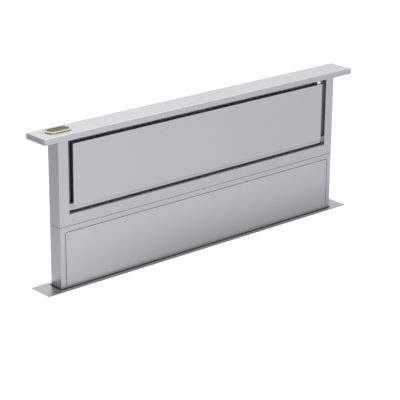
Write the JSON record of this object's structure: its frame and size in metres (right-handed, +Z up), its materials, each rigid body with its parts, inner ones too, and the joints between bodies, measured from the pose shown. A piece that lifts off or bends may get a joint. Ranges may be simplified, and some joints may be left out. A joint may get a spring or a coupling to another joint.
{
  "type": "downdraft vent",
  "caption": "Telescopic downdraft vent: a slim steel column with a flat cap and a gapped front panel rises through a worktop plate on racks, above a scroll blower and a duct collar.",
  "frame": {"origin": "middle of the footprint, at the underside of the legs' feet", "axes": "+X to the right as seen from the front, +Y to the back, +Z up; the column rises along +Z"},
  "size_m": [0.914, 0.2176, 1.0436],
  "materials": {
    "stainless": "brushed along its length",
    "inner_steel": "mill finish",
    "gold_trim": "polished",
    "dark_trim": "satin",
    "filter_aluminium": "expanded mesh",
    "galvanised_steel": "galvanised",
    "machined_steel": "machined and oiled",
    "rail_aluminium": "extruded",
    "bronze": "sintered",
    "black_plastic": "moulded",
    "seal_rubber": "matte",
    "motor_paint": "black",
    "magnet_alloy": "nickel plated",
    "screw_steel": "zinc plated"
  },
  "bodies": {
    "base": {"trim_plate": "stainless", "wiper_seal": "seal_rubber", "housing_rear": "galvanised_steel", "housing_front": "galvanised_steel", "guide_rail_right": "rail_aluminium", "guide_rail_left": "rail_aluminium", "rack_right": "machined_steel", "rack_left": "machined_steel", "position_sensors": "black_plastic", "scroll_body": "galvanised_steel", "scroll_back_plate": "galvanised_steel", "inlet_ring": "galvanised_steel", "blower_motor": "motor_paint", "outlet_transition": "galvanised_steel", "duct_collar": "galvanised_steel", "damper_pin": "machined_steel", "junction_box": "galvanised_steel", "junction_lid": "galvanised_steel", "worktop_bracket_right": "galvanised_steel", "worktop_bracket_left": "galvanised_steel", "support_leg_right": "galvanised_steel", "support_leg_left": "galvanised_steel", "leg_screws": "screw_steel"},
    "column": {"cap_lid": "stainless", "cap_base": "inner_steel", "badge_bezel": "gold_trim", "badge_face": "dark_trim", "head_frame": "stainless", "hinge_bracket_right": "stainless", "hinge_bracket_left": "stainless", "panel_catch": "stainless", "filter_track_upper": "inner_steel", "filter_track_lower": "inner_steel", "filter_frame_left": "filter_aluminium", "filter_frame_right": "filter_aluminium", "filter_mesh_left": "filter_aluminium", "filter_mesh_right": "filter_aluminium", "seam_collar": "inner_steel", "column_body": "stainless", "lower_front_cover": "stainless", "shaft_bushes": "bronze", "motor_bracket": "inner_steel", "lift_gearmotor": "motor_paint", "slide_shoes": "black_plastic", "position_magnet": "magnet_alloy", "cap_screws": "screw_steel"},
    "panel": {"access_panel": "stainless", "panel_hinge_blocks": "inner_steel", "panel_stiffener": "inner_steel"},
    "cross_shaft": {"cross_shaft": "machined_steel", "lift_pinion_right": "machined_steel", "lift_pinion_left": "machined_steel", "drive_gear": "machined_steel"},
    "motor_output": {"motor_pinion": "machined_steel"},
    "blower_rotor": {"blower_wheel": "galvanised_steel", "blower_shaft": "machined_steel"},
    "flap_front": {"damper_flap_front": "galvanised_steel"},
    "flap_rear": {"damper_flap_rear": "galvanised_steel"}
  },
  "joints": [
    {"name": "column_lift", "type": "slide", "parent": "base", "child": "column", "axis": [0, 0, 1], "range_m": [-0.3359, 0]},
    {"name": "panel_tilt", "type": "hinge", "parent": "column", "child": "panel", "pos_m": [0, 0.0601, 0.8735], "axis": [1, 0, 0], "range_deg": [0, 80]},
    {"name": "cross_shaft_spin", "type": "hinge", "parent": "column", "child": "cross_shaft", "pos_m": [0, 0.0742, 0.57], "axis": [1, 0, 0], "range_deg": [0, 1376]},
    {"name": "motor_output_spin", "type": "hinge", "parent": "column", "child": "motor_output", "pos_m": [0.141, 0.0742, 0.549], "axis": [1, 0, 0], "range_deg": [-1834, 0]},
    {"name": "blower_spin", "type": "hinge", "parent": "base", "child": "blower_rotor", "pos_m": [-0.06, -0.0058, 0.262], "axis": [0, -1, 0], "continuous": true},
    {"name": "flap_front_swing", "type": "hinge", "parent": "base", "child": "flap_front", "pos_m": [0.209, -0.0303, 0.14775], "axis": [0, 0, 1], "range_deg": [0, 80], "stiffness_Nm_per_rad": 0.004},
    {"name": "flap_rear_swing", "type": "hinge", "parent": "base", "child": "flap_rear", "pos_m": [0.209, -0.0303, 0.14775], "axis": [0, 0, -1], "range_deg": [0, 80], "stiffness_Nm_per_rad": 0.004}
  ],
  "couplings": [
    {"joint": "cross_shaft_spin", "follows": "column_lift", "rad_per_m": -71.429},
    {"joint": "motor_output_spin", "follows": "column_lift", "rad_per_m": 95.238}
  ]
}
